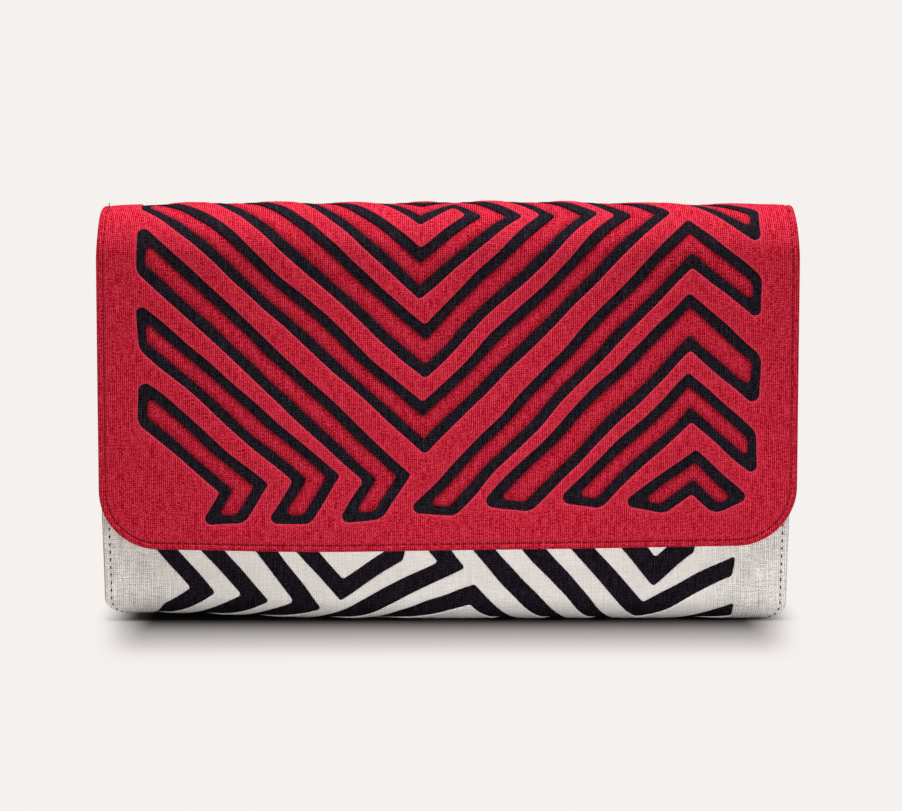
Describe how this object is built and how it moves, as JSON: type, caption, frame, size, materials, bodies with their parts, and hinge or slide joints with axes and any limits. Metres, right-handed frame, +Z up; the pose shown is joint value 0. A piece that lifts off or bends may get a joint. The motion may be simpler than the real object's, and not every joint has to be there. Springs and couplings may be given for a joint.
{
  "type": "mola panel clutch bag",
  "caption": "Closed clutch bag sewn from two mola panels, with a folded-over flap, a flat bottom and side gussets, standing upright.",
  "frame": {"origin": "middle of the bag's footprint, on the surface that it stands on", "axes": "+Z up, +X to the right along the bag's width as seen from the flap's side, -Y out of the flap"},
  "size_m": [0.27, 0.0449, 0.1627],
  "materials": {
    "red_linen": "matt plain weave",
    "grey_linen": "matt plain weave with slubs",
    "cream_linen": "matt plain weave",
    "black_cotton": "matt plain weave",
    "plain_linen": "matt plain weave",
    "sewing_thread": "spun thread"
  },
  "bodies": {
    "root": {"flap_panel": "red_linen", "front_panel": "grey_linen", "gusset_left": "plain_linen", "gusset_right": "plain_linen"}
  },
  "joints": []
}
